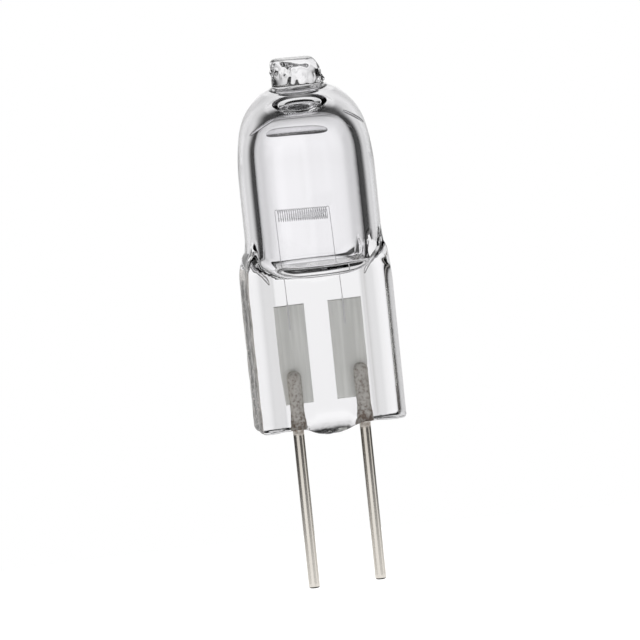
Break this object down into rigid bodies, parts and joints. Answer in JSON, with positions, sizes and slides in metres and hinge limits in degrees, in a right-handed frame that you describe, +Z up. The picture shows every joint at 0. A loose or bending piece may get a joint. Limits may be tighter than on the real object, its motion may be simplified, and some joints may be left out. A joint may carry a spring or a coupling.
{
  "type": "halogen capsule bulb",
  "caption": "Clear quartz halogen capsule bulb with a coiled filament, sealing foils in a flat pressed pinch and straight wire pins for a bi-pin lamp holder.",
  "frame": {"origin": "midway between the pins, on the flat lower end of the pinch, which seats on the lamp holder", "axes": "+Z up along the bulb towards its closed tip, X along the line of the pins, Y through the thickness of the pinch"},
  "size_m": [0.0088, 0.008, 0.0311],
  "materials": {
    "quartz": "clear fused quartz, fire polished",
    "tungsten": "drawn tungsten wire, satin grey",
    "molybdenum": "rolled molybdenum foil, satin grey",
    "nickel": "bright drawn wire, slightly warm, oxidised brown where it enters the glass"
  },
  "bodies": {
    "root": {"glass_capsule": "quartz", "filament": "tungsten", "left_foil": "molybdenum", "right_foil": "molybdenum", "left_pin": "nickel", "right_pin": "nickel"}
  },
  "joints": []
}
